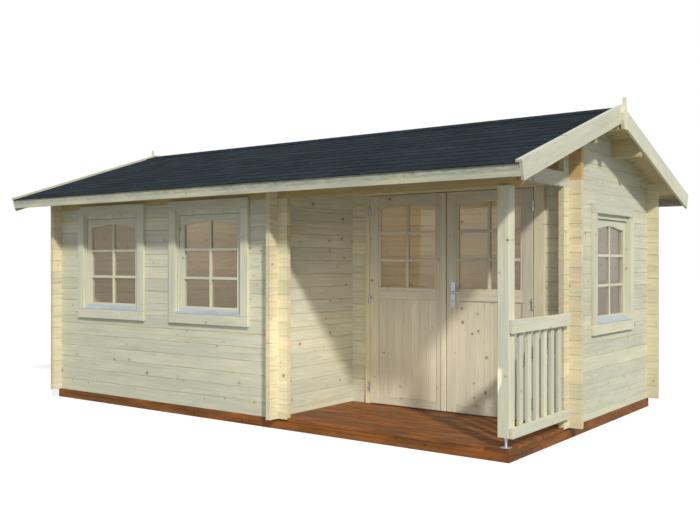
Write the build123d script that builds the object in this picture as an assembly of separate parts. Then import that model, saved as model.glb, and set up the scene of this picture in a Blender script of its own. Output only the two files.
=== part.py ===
from build123d import *
import math
import os

os.makedirs("parts", exist_ok=True)

# Room, veranda and the logs they are laid from
room_length = 5000
room_depth = 2900
log_height = 114
log_thickness = 44
log_bevel = 4
corner_overhang = 100
veranda_length = 2100
veranda_depth = 1050
beam_end_slope = 37
beam_end_inset = 15

# Bearers, floor and deck
bearer_height = 85
bearer_width = 70
joist_spacing = 560
floor_thickness = 19
floor_gap = 5
floor_joint = 1
deck_thickness = 28
deck_notch_gap = 2
deck_rise = 14

# Roof
roof_pitch = 18.27
ridge_underside = 2520
gable_reach = 250
eave_reach = 330
roof_board = 19
shingle_thickness = 5
shingle_drip = 12
ridge_cap_reach = 150
ridge_cap_thickness = 4
purlin_thickness = 44
purlin_height = 155
ridge_purlin_thickness = 70

# Boards that close the roof's edges
fascia_height = 86
fascia_thickness = 20
barge_width = 120
barge_thickness = 20
barge_strip_width = 45
barge_strip_thickness = 18
barge_joint = 1
barge_end_reach = 362
finial_width = 100
finial_thickness = 28
finial_height = 257
finial_foot_width = 56
finial_tip_width = 8
finial_neck_width = 40
finial_shoulder = 70
finial_sweep_start = 128
finial_neck = 175
finial_drop = 50

# Corner post, its steel foot and the railing beside it
post_size = 90
post_edge = 4
post_inset = 13
post_foot_plate = 60
post_foot_plate_thickness = 5
post_foot_rod = 20
post_foot_nut = 36
post_foot_nut_height = 14
post_lift = 76
rail_thickness = 28
top_rail_height = 96
low_rail_height = 75
rail_top = 902
low_rail_top = 161
baluster_width = 58
baluster_thickness = 25
baluster_count = 6
baluster_lap_low = 20
baluster_lap_top = 12
rail_lap = 35

# Windows, all three alike
window_casing_width = 88
window_casing_thickness = 28
window_clear_width = 809
window_clear_height = 929
window_clear_bottom = 833
window_frame_depth = 66
window_stop = 12
window_frame_side = 28
window_frame_head = 55
window_frame_foot = 23
window_lap = 14
window_side_gap = 2
window_settling_gap = 20
sash_setback = 15
sash_thickness = 40
sash_gap = 2
sash_stile = 58
sash_foot = 55
sash_head = 82
sash_arch_rise = 27
glass_thickness = 4
glazing_bar = 25
glazing_bar_depth = 14
drip_sill_thickness = 2
drip_sill_level = 30
drip_sill_upstand = 15
drip_sill_start_fall = 4
drip_sill_fall = 18
drip_sill_setback = 2
drip_sill_lip = 6
front_window_left = -1701
front_window_right = -366
gable_window_place = 506

# Double door
door_space_left = 209.5
door_space_right = 285.5
door_meeting_gap = 7
door_side_gap = 5
door_leaf_bottom = 22
door_leaf_top = 1893
door_leaf_thickness = 40
door_jamb = 35
door_jamb_gap = 2.5
door_frame_depth = 60
door_stop = 12
door_casing_thickness = 28
door_casing_left = 45
door_casing_right = 90
door_casing_head = 90
door_stile = 95
door_top_rail = 93
door_middle_rail = 104
door_bottom_rail = 72
door_panel_top = 946
door_panel_setback = 8
door_panel_thickness = 20
door_glass_bead = 18
door_arch_rise = 27
meeting_strip_width = 45
meeting_strip_thickness = 10
threshold_height = 15
threshold_stop_height = 35

# Door fittings
hinge_radius = 8
hinge_half = 45
hinge_split = 0.6
hinge_axis_gap = 0.5
hinge_pin_radius = 4
hinge_pin_clearance = 0.3
hinge_pin_length = 30
hinge_bore_depth = 33
hinge_stem_radius = 4
hinge_stem_offset = 12
hinge_leaf_stem = 34
hinge_frame_stem = 54
hinge_bridge_thickness = 8
hinge_bridge_height = 12
hinge_levels = (151, 944, 1727)
handle_plate_width = 40
handle_plate_height = 220
handle_plate_thickness = 8
handle_plate_corner = 6
handle_plate_above = 90
keyhole_drop = 72
keyhole_radius = 5
keyhole_slot_width = 5
keyhole_slot_length = 16
handle_backset = 65
handle_level = 1041
spindle_radius = 9
spindle_clearance = 0.4
lever_stand = 50
lever_length = 110
lever_thickness = 18
lever_edge = 5

# Places worked out from the sizes above
slope = math.tan(math.radians(roof_pitch))
pitch_stretch = 1 / math.cos(math.radians(roof_pitch))
wall_x = room_length / 2 + log_thickness
wall_y = room_depth / 2 + log_thickness
recess_x = wall_x - veranda_length
door_y = -wall_y + veranda_depth
roof_x = wall_x + gable_reach
barge_x = roof_x + barge_thickness
wall_base = bearer_height
deck_top = wall_base + deck_rise
wall_top = wall_base + ridge_underside - slope * (wall_y - log_thickness)
beam_course = int((wall_top - wall_base) / log_height) - 1
purlin_offset = corner_overhang - door_y - purlin_thickness
door_opening = veranda_length - door_space_left - door_space_right
door_half = door_opening / 2
door_centre = recess_x + door_space_left + door_half
door_leaf_width = (door_opening - door_meeting_gap) / 2 - door_side_gap
door_leaf_y = door_y - door_casing_thickness
door_axis_y = door_leaf_y - hinge_radius - hinge_axis_gap
far = 4000


def block(x0, x1, y0, y1, z0, z1):
    centre = Pos((x0 + x1) / 2, (y0 + y1) / 2, (z0 + z1) / 2)
    return centre * Box(x1 - x0, y1 - y0, z1 - z0)


def prism_x(outline, x0, x1):
    """A closed outline of (y, z) points drawn out along X."""
    face = Plane((x0, 0, 0), (0, 1, 0), (1, 0, 0)) * make_face(Polyline(*outline, close=True))
    return extrude(face, amount=x1 - x0)


def prism_y(outline, y0, y1):
    """A closed outline of (x, z) points drawn out along Y."""
    face = Plane((0, y1, 0), (1, 0, 0), (0, -1, 0)) * make_face(Polyline(*outline, close=True))
    return extrude(face, amount=y1 - y0)


def course(number):
    return wall_base + number * log_height


def underside(y):
    return wall_base + ridge_underside - slope * abs(y)


def slope_layer(low, high, y_end, x0, x1, side, square_end=False, y_start=0):
    """A layer of one roof slope, low and high measured square to the slope above the underside."""
    lift_low = low * pitch_stretch
    lift_high = high * pitch_stretch
    lean = (high - low) * math.sin(math.radians(roof_pitch)) if square_end else 0
    outline = [
        (side * y_start, underside(y_start) + lift_low),
        (side * (y_end - lean), underside(y_end - lean) + lift_low),
        (side * y_end, underside(y_end) + lift_high),
        (side * y_start, underside(y_start) + lift_high),
    ]
    return prism_x(outline, x0, x1)


def under_roof():
    eave = underside(far)
    outline = [(-far, 0), (far, 0), (far, eave), (0, underside(0)), (-far, eave)]
    return prism_x(outline, -far, far)


def log_outline(low, high, first_joint):
    """Section of a log wall, with a V where two courses meet on each face."""
    joints = []
    level = first_joint
    while level < high - log_bevel:
        if level > low + log_bevel:
            joints.append(level)
        level += log_height
    outer = [(0, low)]
    inner = [(log_thickness, low)]
    for level in joints:
        outer += [(0, level - log_bevel), (log_bevel, level), (0, level + log_bevel)]
        inner += [
            (log_thickness, level - log_bevel),
            (log_thickness - log_bevel, level),
            (log_thickness, level + log_bevel),
        ]
    outer.append((0, high))
    inner.append((log_thickness, high))
    return outer + inner[::-1]


def notches(x0, y0, low, high, first):
    """Where the crossing wall's logs pass through this wall's corner."""
    cells = []
    level = first
    while level - log_height / 4 < high:
        bottom = max(level - log_height / 4, low)
        top = min(level + log_height / 4, high)
        if top > bottom:
            cells.append(block(x0, x0 + log_thickness, y0, y0 + log_thickness, bottom, top))
        level += log_height
    return cells


def wall_along_x(x0, x1, y0, low, high, crossings, cutters=()):
    outline = [(y0 + u, z) for u, z in log_outline(low, high, wall_base)]
    wall = prism_x(outline, x0, x1) & under_roof()
    cells = []
    for x in crossings:
        cells += notches(x, y0, low, high, wall_base)
    return wall - cells - list(cutters)


def wall_along_y(y0, y1, x0, low, high, crossings, cutters=()):
    outline = [(x0 + u, z) for u, z in log_outline(low, high, course(0.5))]
    wall = prism_y(outline, y0, y1) & under_roof()
    cells = []
    for y in crossings:
        cells += notches(x0, y, low, high, course(0.5))
    return wall - cells - list(cutters)


def window_hole(depth_from, depth_to):
    """The hole cut through the logs, drawn for a window facing -Y at the origin."""
    half = window_clear_width / 2 + window_lap + window_side_gap
    bottom = window_clear_bottom - window_lap
    top = window_clear_bottom + window_clear_height + window_lap + window_settling_gap
    return block(-half, half, depth_from, depth_to, bottom, top)


def window_places():
    """The three windows, each facing -Y before it is placed."""
    return [
        Pos(front_window_left, -wall_y, wall_base),
        Pos(front_window_right, -wall_y, wall_base),
        Pos(wall_x, gable_window_place, wall_base - log_height / 2) * Rot(0, 0, 90),
    ]


def ring(width, bottom, top, y0, y1, side, foot, head):
    outside = block(-width / 2, width / 2, y0, y1, bottom, top)
    inside = block(-width / 2 + side, width / 2 - side, y0 - 1, y1 + 1, bottom + foot, top - head)
    return outside - inside


def window_casing():
    width = window_clear_width + 2 * window_casing_width
    bottom = window_clear_bottom - window_casing_width
    top = window_clear_bottom + window_clear_height + window_casing_width
    return ring(
        width, bottom, top, -window_casing_thickness, 0,
        window_casing_width, window_casing_width, window_casing_width,
    )


def window_frame():
    width = window_clear_width + 2 * window_lap
    bottom = window_clear_bottom - window_lap
    top = window_clear_bottom + window_clear_height + window_lap
    frame = ring(
        width, bottom, top, 0, window_frame_depth,
        window_frame_side, window_frame_foot, window_frame_head,
    )
    stop = ring(
        width, bottom, top, sash_setback + sash_thickness, window_frame_depth,
        window_frame_side + window_stop, window_frame_foot + window_stop, window_frame_head + window_stop,
    )
    return frame + stop


def sash_size():
    width = window_clear_width + 2 * window_lap - 2 * window_frame_side - 2 * sash_gap
    bottom = window_clear_bottom - window_lap + window_frame_foot + sash_gap
    top = window_clear_bottom + window_clear_height + window_lap - window_frame_head - sash_gap
    return width, bottom, top


def swept_head(half, level, rise, y0, y1):
    """The glass opening's top: level shoulders that sweep up to the middle."""
    sweep = Spline(
        (-half, level), (0, level + rise), (half, level),
        tangents=[(1, 0), (1, 0), (1, 0)],
    )
    face = make_face([sweep, Line((half, level), (-half, level))])
    return extrude(Plane((0, y1, 0), (1, 0, 0), (0, -1, 0)) * face, amount=y1 - y0)


def glazing_bars(half, bottom, top, y0, y1):
    bars = block(-glazing_bar / 2, glazing_bar / 2, y0, y1, bottom, top)
    pane = (top - bottom) / 3
    for row in (1, 2):
        level = bottom + row * pane
        bars += block(-half, half, y0, y1, level - glazing_bar / 2, level + glazing_bar / 2)
    return bars


def window_sash():
    width, bottom, top = sash_size()
    front = sash_setback
    back = sash_setback + sash_thickness
    sash = ring(width, bottom, top, front, back, sash_stile, sash_foot, sash_head)
    half = width / 2 - sash_stile
    shoulder = top - sash_head
    sash -= swept_head(half, shoulder, sash_arch_rise, front - 1, back + 1)
    middle = (front + back) / 2
    for side in (-1, 1):
        face = middle + side * (glass_thickness / 2 + glazing_bar_depth / 2)
        sash += glazing_bars(
            half, bottom + sash_foot, shoulder + sash_arch_rise,
            face - glazing_bar_depth / 2, face + glazing_bar_depth / 2,
        )
    return sash


def window_glass():
    width, bottom, top = sash_size()
    half = width / 2 - sash_stile
    middle = sash_setback + sash_thickness / 2
    front = middle - glass_thickness / 2
    back = middle + glass_thickness / 2
    pane = block(-half, half, front, back, bottom + sash_foot, top - sash_head)
    return pane + swept_head(half, top - sash_head, sash_arch_rise, front, back)


def window_sill():
    """Bent metal drip between the casing boards, ending just above the lower one."""
    half = window_clear_width / 2 - 1
    back = sash_setback - 1
    nose = drip_sill_setback + drip_sill_thickness - window_casing_thickness
    seat = window_clear_bottom + drip_sill_level
    top = seat + drip_sill_upstand
    wall_face = seat - drip_sill_start_fall
    edge = wall_face - drip_sill_fall
    lip = edge - drip_sill_lip
    metal = drip_sill_thickness
    outline = [
        (back, top), (back, seat), (0, wall_face), (nose, edge), (nose, lip),
        (nose - metal, lip), (nose - metal, edge + metal), (0, wall_face + metal),
        (back - metal, seat + metal), (back - metal, top),
    ]
    return prism_x(outline, -half, half) - window_frame()


def each_window(piece):
    return Compound(children=[place * piece for place in window_places()])


def window_cutters():
    hole = window_hole(-1, log_thickness + 1)
    return [place * hole for place in window_places()]


def purlin(y0, y1, height_at):
    bottom = underside(height_at) - purlin_height
    return block(-roof_x, roof_x, y0, y1, bottom, wall_base + ridge_underside + 1) & under_roof()


def middle_purlin(side):
    inner = side * purlin_offset
    outer = side * (purlin_offset + purlin_thickness)
    return purlin(min(inner, outer), max(inner, outer), purlin_offset)


def ridge_purlin():
    half = ridge_purlin_thickness / 2
    return purlin(-half, half, 0)


def purlins():
    """Beams under the roof boards, let into the gables and the door wall."""
    return [ridge_purlin(), middle_purlin(-1), middle_purlin(1)]


def foundation_frame():
    """Treated bearers under every wall, with joists between the long ones."""
    low = 0
    high = wall_base
    frame = block(-wall_x, wall_x, wall_y - bearer_width, wall_y, low, high)
    frame += block(-wall_x, recess_x, -wall_y, -wall_y + bearer_width, low, high)
    frame += block(-wall_x, -wall_x + bearer_width, -wall_y, wall_y, low, high)
    frame += block(wall_x - bearer_width, wall_x, door_y, wall_y, low, high)
    frame += block(recess_x - bearer_width, recess_x, -wall_y, wall_y, low, high)
    frame += block(recess_x - bearer_width, wall_x, door_y, door_y + bearer_width, low, high)
    deck_low = deck_top - deck_thickness
    frame += block(recess_x, wall_x, -wall_y, -wall_y + bearer_width, low, deck_low)
    frame += block(wall_x - bearer_width, wall_x, -wall_y, door_y, low, deck_low)
    frame += block(recess_x, wall_x, door_y - bearer_width, door_y, low, deck_low)
    count = math.floor((recess_x + wall_x) / joist_spacing)
    for number in range(1, count):
        x = -wall_x + number * (recess_x + wall_x) / count
        frame += block(x - bearer_width / 2, x + bearer_width / 2, -wall_y, wall_y, low, high)
    count = math.floor(veranda_length / joist_spacing)
    for number in range(1, count):
        x = recess_x + number * veranda_length / count
        frame += block(x - bearer_width / 2, x + bearer_width / 2, door_y, wall_y, low, high)
        frame += block(x - bearer_width / 2, x + bearer_width / 2, -wall_y, door_y, low, deck_low)
    return frame


def inner_corner():
    """The four log ends that cross inside the room, with the floor's gap round them."""
    x0 = recess_x - log_thickness
    reach = corner_overhang + floor_gap
    low = wall_base - 1
    high = wall_base + floor_thickness + 1
    along_x = block(x0 - reach, recess_x, door_y - floor_gap, door_y + log_thickness + floor_gap, low, high)
    along_y = block(x0 - floor_gap, recess_x + floor_gap, door_y, door_y + log_thickness + reach, low, high)
    return along_x + along_y


def room_floor_main():
    inner = wall_x - log_thickness - floor_gap
    depth = wall_y - log_thickness - floor_gap
    end = recess_x - log_thickness - floor_gap
    return block(-inner, end, -depth, depth, wall_base, wall_base + floor_thickness) - inner_corner()


def room_floor_behind_doors():
    inner = wall_x - log_thickness - floor_gap
    depth = wall_y - log_thickness - floor_gap
    start = recess_x - log_thickness - floor_gap + floor_joint
    front = door_y + door_frame_depth + floor_gap
    return block(start, inner, front, depth, wall_base, wall_base + floor_thickness) - inner_corner()


def veranda_deck():
    """Notched over the two log ends that stand on it."""
    deck = block(recess_x, wall_x, -wall_y, door_y, deck_top - deck_thickness, deck_top)
    gap = deck_notch_gap
    front_end = block(
        recess_x - 1, recess_x + corner_overhang + gap,
        -wall_y - 1, -wall_y + log_thickness + gap, wall_base, deck_top + 1,
    )
    side_end = block(
        wall_x - log_thickness - gap, wall_x + 1,
        door_y - corner_overhang - gap, door_y + 1, wall_base, deck_top + 1,
    )
    return deck - [front_end, side_end]


def left_gable_wall():
    crossings = [-wall_y, wall_y - log_thickness]
    reach = wall_y + corner_overhang
    high = wall_base + ridge_underside
    return wall_along_y(-reach, reach, -wall_x, wall_base, high, crossings, purlins())


def right_gable_wall():
    crossings = [door_y, wall_y - log_thickness]
    start = door_y - corner_overhang
    end = wall_y + corner_overhang
    x = wall_x - log_thickness
    return wall_along_y(start, end, x, wall_base, course(beam_course + 0.5), crossings, window_cutters())


def right_plate_log():
    """One log from the post to the back wall: the veranda's side beam and the gable's tie."""
    crossings = [door_y, wall_y - log_thickness]
    reach = wall_y + corner_overhang
    x = wall_x - log_thickness
    low = course(beam_course + 0.5)
    high = low + log_height
    log = wall_along_y(-reach, reach, x, low, high, crossings, window_cutters())
    front = [
        block(x, wall_x, -wall_y, -wall_y + log_thickness, low, low + log_height / 4),
        block(x, wall_x, -wall_y, -wall_y + log_thickness, high - log_height / 4, high),
    ]
    return log - front


def right_gable_peak():
    crossings = [door_y, wall_y - log_thickness]
    low = course(beam_course + 1.5)
    high = wall_base + ridge_underside
    x = wall_x - log_thickness
    start = door_y - corner_overhang
    return wall_along_y(start, wall_y + corner_overhang, x, low, high, crossings, purlins())


def front_wall():
    crossings = [-wall_x, recess_x - log_thickness]
    start = -wall_x - corner_overhang
    end = recess_x + corner_overhang
    return wall_along_x(start, end, -wall_y, wall_base, course(beam_course), crossings, window_cutters())


def front_plate_beam():
    """The top two courses run on over the veranda and out to the bargeboards."""
    low = course(beam_course)
    crossings = [-wall_x, recess_x - log_thickness]
    beam = wall_along_x(-roof_x, roof_x, -wall_y, low, wall_top, crossings, window_cutters())
    post_crossing = block(
        wall_x - log_thickness, wall_x, -wall_y, -wall_y + log_thickness,
        course(beam_course + 0.75), course(beam_course + 1.25),
    )
    lean = log_height * math.tan(math.radians(beam_end_slope))
    foot = wall_x + corner_overhang - beam_end_inset
    ends = []
    for side in (-1, 1):
        outline = [
            (side * foot, low - 1),
            (side * (foot + lean), low + log_height),
            (side * (roof_x + 1), low + log_height),
            (side * (roof_x + 1), low - 1),
        ]
        ends.append(prism_y(outline, -wall_y - 1, -wall_y + log_thickness + 1))
    return beam - [post_crossing] - ends


def back_wall():
    crossings = [-wall_x, wall_x - log_thickness]
    y = wall_y - log_thickness
    reach = wall_x + corner_overhang
    return wall_along_x(-reach, reach, y, wall_base, course(beam_course + 1), crossings)


def back_plate_log():
    """The back wall's top log, running out to the bargeboards at both ends."""
    crossings = [-wall_x, wall_x - log_thickness]
    y = wall_y - log_thickness
    return wall_along_x(-roof_x, roof_x, y, course(beam_course + 1), wall_top, crossings)


def recess_side_wall():
    crossings = [-wall_y, door_y]
    x = recess_x - log_thickness
    end = door_y + log_thickness + corner_overhang
    start = -wall_y - corner_overhang
    high = wall_base + ridge_underside
    return wall_along_y(start, end, x, wall_base, high, crossings, purlins())


def doorway_side(side):
    return door_centre + side * (door_half + door_jamb + door_jamb_gap)


def doorway_top():
    return course(beam_course + 1)


def door_wall_left():
    x = recess_x - log_thickness
    start = x - corner_overhang
    return wall_along_x(start, doorway_side(-1), door_y, wall_base, doorway_top(), [x])


def door_wall_right():
    x = wall_x - log_thickness
    end = wall_x + corner_overhang
    return wall_along_x(doorway_side(1), end, door_y, wall_base, doorway_top(), [x])


def door_wall_over():
    crossings = [recess_x - log_thickness, wall_x - log_thickness]
    start = crossings[0] - corner_overhang
    end = wall_x + corner_overhang
    high = wall_base + ridge_underside
    return wall_along_x(start, end, door_y, doorway_top(), high, crossings, purlins())


def roof_boards(side):
    return slope_layer(0, roof_board, wall_y + eave_reach, -roof_x, roof_x, side)


def shingles(side):
    low = roof_board
    high = roof_board + shingle_thickness
    end = wall_y + eave_reach + fascia_thickness + shingle_drip
    return slope_layer(low, high, end, -roof_x, roof_x, side)


def ridge_cap():
    low = roof_board + shingle_thickness
    high = low + ridge_cap_thickness
    reach = roof_x + barge_thickness - barge_strip_width
    front = slope_layer(low, high, ridge_cap_reach, -reach, reach, -1, square_end=True)
    back = slope_layer(low, high, ridge_cap_reach, -reach, reach, 1, square_end=True)
    return front + back


def fascia(side):
    near = wall_y + eave_reach
    out = near + fascia_thickness
    lift = roof_board * pitch_stretch
    bottom = underside(out) + lift - fascia_height
    outline = [
        (side * near, bottom),
        (side * out, bottom),
        (side * out, underside(out) + lift),
        (side * near, underside(near) + lift),
    ]
    return prism_x(outline, -roof_x, roof_x)


def bargeboard(side, end):
    high = roof_board + shingle_thickness
    low = high - barge_width
    x = end * roof_x
    x_out = end * barge_x
    return slope_layer(
        low, high, wall_y + barge_end_reach, min(x, x_out), max(x, x_out), side,
        square_end=True, y_start=barge_joint / 2,
    )


def barge_strip(side, end):
    low = roof_board + shingle_thickness
    high = low + barge_strip_thickness
    x = end * (barge_x - barge_strip_width)
    x_out = end * barge_x
    lean = barge_strip_thickness * math.sin(math.radians(roof_pitch))
    return slope_layer(
        low, high, wall_y + barge_end_reach + lean, min(x, x_out), max(x, x_out), side,
        square_end=True, y_start=barge_joint / 2,
    )


def finial(end):
    """A flat board with a spear point, nailed over the joint of the bargeboards."""
    bottom = wall_base + ridge_underside - (barge_width - roof_board) * pitch_stretch - finial_drop
    half = finial_width / 2
    foot = finial_foot_width / 2
    tip_half = finial_tip_width / 2
    neck = finial_neck_width / 2
    shoulder = bottom + finial_shoulder
    start = bottom + finial_sweep_start
    middle = bottom + finial_neck
    top = bottom + finial_height
    right = Line((foot, bottom), (half, shoulder))
    side_edge = Line((half, shoulder), (half, start))
    sweep = ThreePointArc((half, start), (neck, middle), (tip_half, top))
    tip = Line((tip_half, top), (-tip_half, top))
    sweep_left = ThreePointArc((-tip_half, top), (-neck, middle), (-half, start))
    side_left = Line((-half, start), (-half, shoulder))
    left = Line((-half, shoulder), (-foot, bottom))
    base = Line((-foot, bottom), (foot, bottom))
    face = make_face([right, side_edge, sweep, tip, sweep_left, side_left, left, base])
    plane = Plane((end * barge_x, 0, 0), (0, end, 0), (end, 0, 0))
    return extrude(plane * face, amount=finial_thickness)


def post_place():
    x = wall_x + post_inset - post_size / 2
    y = -wall_y + log_thickness / 2
    return x, y


def corner_post():
    x, y = post_place()
    half = post_size / 2
    low = deck_top + post_lift
    post = block(x - half, x + half, y - half, y + half, low, course(beam_course))
    return chamfer(post.edges().filter_by(Axis.Z), post_edge)


def post_foot():
    """Adjustable steel foot: plate, threaded rod and nut."""
    x, y = post_place()
    half = post_foot_plate / 2
    low = deck_top + post_foot_plate_thickness
    high = deck_top + post_lift
    foot = block(x - half, x + half, y - half, y + half, deck_top, low)
    foot += Pos(x, y, (low + high) / 2) * Cylinder(post_foot_rod / 2, high - low)
    nut = RegularPolygon(post_foot_nut / 2, 6)
    foot += extrude(Pos(x, y, high - post_foot_nut_height) * nut, post_foot_nut_height)
    return foot


def railing():
    """Two rails outside the post and the wall's end, with boards inside them."""
    x = wall_x + post_inset
    post_x, post_y = post_place()
    start = post_y - post_size / 2
    end = door_y - corner_overhang + rail_lap
    top = wall_base + rail_top
    low = wall_base + low_rail_top
    top_foot = top - top_rail_height
    low_foot = low - low_rail_height
    rails = block(x, x + rail_thickness, start, end, top_foot, top)
    rails += block(x, x + rail_thickness, start, end, low_foot, low)
    clear_start = post_y + post_size / 2
    clear_end = door_y - corner_overhang
    clear = clear_end - clear_start
    gap = (clear - baluster_count * baluster_width) / (baluster_count + 1)
    board_low = low_foot + baluster_lap_low
    board_high = top - baluster_lap_top
    for number in range(baluster_count):
        y0 = clear_start + gap + number * (baluster_width + gap)
        y1 = y0 + baluster_width
        rails += block(x - baluster_thickness, x, y0, y1, board_low, board_high)
    packer = block(wall_x, x, clear_end, end, top_foot, top)
    packer += block(wall_x, x, clear_end, end, low_foot, low)
    return rails + packer


def door_frame():
    """Jambs and head set in the doorway, with a stop behind the leaves."""
    half = door_half
    head = door_leaf_top + door_side_gap + wall_base
    y0 = door_y
    y1 = door_y + door_frame_depth
    outer = block(
        door_centre - half - door_jamb, door_centre + half + door_jamb,
        y0, y1, wall_base, head + door_jamb,
    )
    inner = block(door_centre - half, door_centre + half, y0 - 1, y1 + 1, wall_base - 1, head)
    frame = outer - inner
    stop_y = door_leaf_y + door_leaf_thickness + door_side_gap
    stop = block(door_centre - half, door_centre + half, stop_y, y1, wall_base, head)
    stop -= block(
        door_centre - half + door_stop, door_centre + half - door_stop,
        stop_y - 1, y1 + 1, wall_base - 1, head - door_stop,
    )
    return frame + stop


def door_casing():
    """Boards that cover the joint of frame and logs, the left one narrow."""
    y0 = door_y - door_casing_thickness
    inner_left = door_centre - door_half
    inner_right = door_centre + door_half
    head = wall_base + door_leaf_top + door_side_gap
    top = head + door_casing_head
    outer_left = inner_left - door_casing_left
    outer_right = inner_right + door_casing_right
    casing = block(outer_left, inner_left, y0, door_y, deck_top, head)
    casing += block(inner_right, outer_right, y0, door_y, deck_top, head)
    casing += block(outer_left, outer_right, y0, door_y, head, top)
    return casing


def door_threshold():
    x0 = door_centre - door_half + door_stop
    x1 = door_centre + door_half - door_stop
    y1 = door_y + door_frame_depth
    stop_y = door_leaf_y + door_leaf_thickness + door_side_gap
    sill = block(x0, x1, door_y, y1, wall_base, wall_base + threshold_height)
    return sill + block(x0, x1, stop_y, y1, wall_base, wall_base + threshold_stop_height)


def leaf_frame():
    """One door leaf without its glass, its lower left corner at the origin and its face at y 0."""
    height = door_leaf_top - door_leaf_bottom
    leaf = block(0, door_leaf_width, 0, door_leaf_thickness, 0, height)
    panel_low = door_bottom_rail
    panel_high = door_panel_top
    middle = door_leaf_width / 2
    panel_half = middle - door_stile
    hollow = block(
        middle - panel_half, middle + panel_half, -1, door_leaf_thickness + 1,
        panel_low, panel_high,
    )
    half, low, high = leaf_glass_size()
    opening = block(middle - half, middle + half, -1, door_leaf_thickness + 1, low, high)
    opening += Pos(middle, 0, 0) * swept_head(half, high, door_arch_rise, -1, door_leaf_thickness + 1)
    leaf = leaf - hollow - opening
    leaf += block(
        middle - panel_half, middle + panel_half,
        door_panel_setback, door_panel_setback + door_panel_thickness,
        panel_low, panel_high,
    )
    centre = door_leaf_thickness / 2
    for side in (-1, 1):
        face = centre + side * (glass_thickness / 2 + glazing_bar_depth / 2)
        leaf += Pos(middle, 0, 0) * glazing_bars(
            half, low, high + door_arch_rise,
            face - glazing_bar_depth / 2, face + glazing_bar_depth / 2,
        )
    return leaf


def leaf_glass_size():
    half = door_leaf_width / 2 - door_stile - door_glass_bead
    low = door_panel_top + door_middle_rail
    high = door_leaf_top - door_leaf_bottom - door_top_rail - door_arch_rise
    return half, low, high


def leaf_glass():
    half, low, high = leaf_glass_size()
    middle = door_leaf_width / 2
    front = door_leaf_thickness / 2 - glass_thickness / 2
    back = front + glass_thickness
    pane = block(middle - half, middle + half, front, back, low, high)
    return pane + Pos(middle, 0, 0) * swept_head(half, high, door_arch_rise, front, back)


def left_leaf_place():
    x = door_centre - door_meeting_gap / 2 - door_leaf_width
    return Pos(x, door_leaf_y, wall_base + door_leaf_bottom)


def right_leaf_place():
    x = door_centre + door_meeting_gap / 2
    return Pos(x, door_leaf_y, wall_base + door_leaf_bottom)


def left_door_leaf():
    """The standing leaf, with a flat strip along its meeting edge."""
    leaf = leaf_frame()
    height = door_leaf_top - door_leaf_bottom
    leaf += block(
        door_leaf_width - meeting_strip_width, door_leaf_width,
        -meeting_strip_thickness, 0, 0, height,
    )
    place = left_leaf_place() * leaf
    return place - leaf_stems(-1)


def right_door_leaf():
    """The leaf opened first, bored for the lever's spindle."""
    place = right_leaf_place() * leaf_frame()
    x = door_centre + door_meeting_gap / 2 + handle_backset
    level = wall_base + handle_level
    radius = spindle_radius + spindle_clearance
    bore = Pos(x, door_leaf_y, level) * Rot(90, 0, 0) * Cylinder(radius, 4 * door_leaf_thickness)
    return place - [bore] - leaf_stems(1)


def hinge_axis(side):
    return door_centre + side * (door_half - door_side_gap / 2)


def hinge_level(number):
    return wall_base + door_leaf_bottom + hinge_levels[number]


def hinge_stem(x, z, length):
    """A stem that screws into the wood, running back from the hinge."""
    outline = RegularPolygon(hinge_stem_radius, 8)
    plane = Plane((x, door_axis_y, z), (1, 0, 0), (0, 1, 0))
    return extrude(plane * outline, length)


def hinge_bridge(x, stem_x, z):
    """Joins a barrel to its stem."""
    half = hinge_bridge_thickness / 2
    low = min(x, stem_x - hinge_stem_radius)
    high = max(x, stem_x + hinge_stem_radius)
    rise = hinge_bridge_height / 2
    return block(low, high, door_axis_y - half, door_axis_y + half, z - rise, z + rise)


def leaf_stems(side):
    x = hinge_axis(side) - side * hinge_stem_offset
    levels = [hinge_level(n) + hinge_half / 2 for n in range(len(hinge_levels))]
    return [hinge_stem(x, z, hinge_leaf_stem) for z in levels]


def frame_stems(side):
    x = hinge_axis(side) + side * hinge_stem_offset
    levels = [hinge_level(n) - hinge_half / 2 for n in range(len(hinge_levels))]
    return [hinge_stem(x, z, hinge_frame_stem) for z in levels]


def leaf_hinges(side):
    """Upper halves of lift-off hinges, each on a stem into the leaf."""
    halves = []
    x = hinge_axis(side)
    stem_x = x - side * hinge_stem_offset
    radius = hinge_pin_radius + hinge_pin_clearance
    for number, stem in enumerate(leaf_stems(side)):
        z0 = hinge_level(number) + hinge_split / 2
        barrel = Pos(x, door_axis_y, z0 + hinge_half / 2) * Cylinder(hinge_radius, hinge_half)
        bore = Pos(x, door_axis_y, z0) * Cylinder(radius, 2 * hinge_bore_depth)
        bridge = hinge_bridge(x, stem_x, hinge_level(number) + hinge_half / 2)
        halves.append(barrel + bridge + stem - bore)
    return halves


def frame_hinges():
    """Lower halves with their pins, each on a stem into the jamb."""
    halves = []
    for side in (-1, 1):
        x = hinge_axis(side)
        stem_x = x + side * hinge_stem_offset
        for number, stem in enumerate(frame_stems(side)):
            top = hinge_level(number) - hinge_split / 2
            barrel = Pos(x, door_axis_y, top - hinge_half / 2) * Cylinder(hinge_radius, hinge_half)
            pin = Pos(x, door_axis_y, top) * Cylinder(hinge_pin_radius, 2 * hinge_pin_length)
            bridge = hinge_bridge(x, stem_x, hinge_level(number) - hinge_half / 2)
            halves.append(barrel + pin + bridge + stem)
    return halves


def handle_place():
    x = door_centre + door_meeting_gap / 2 + handle_backset
    return x, wall_base + handle_level


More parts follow.
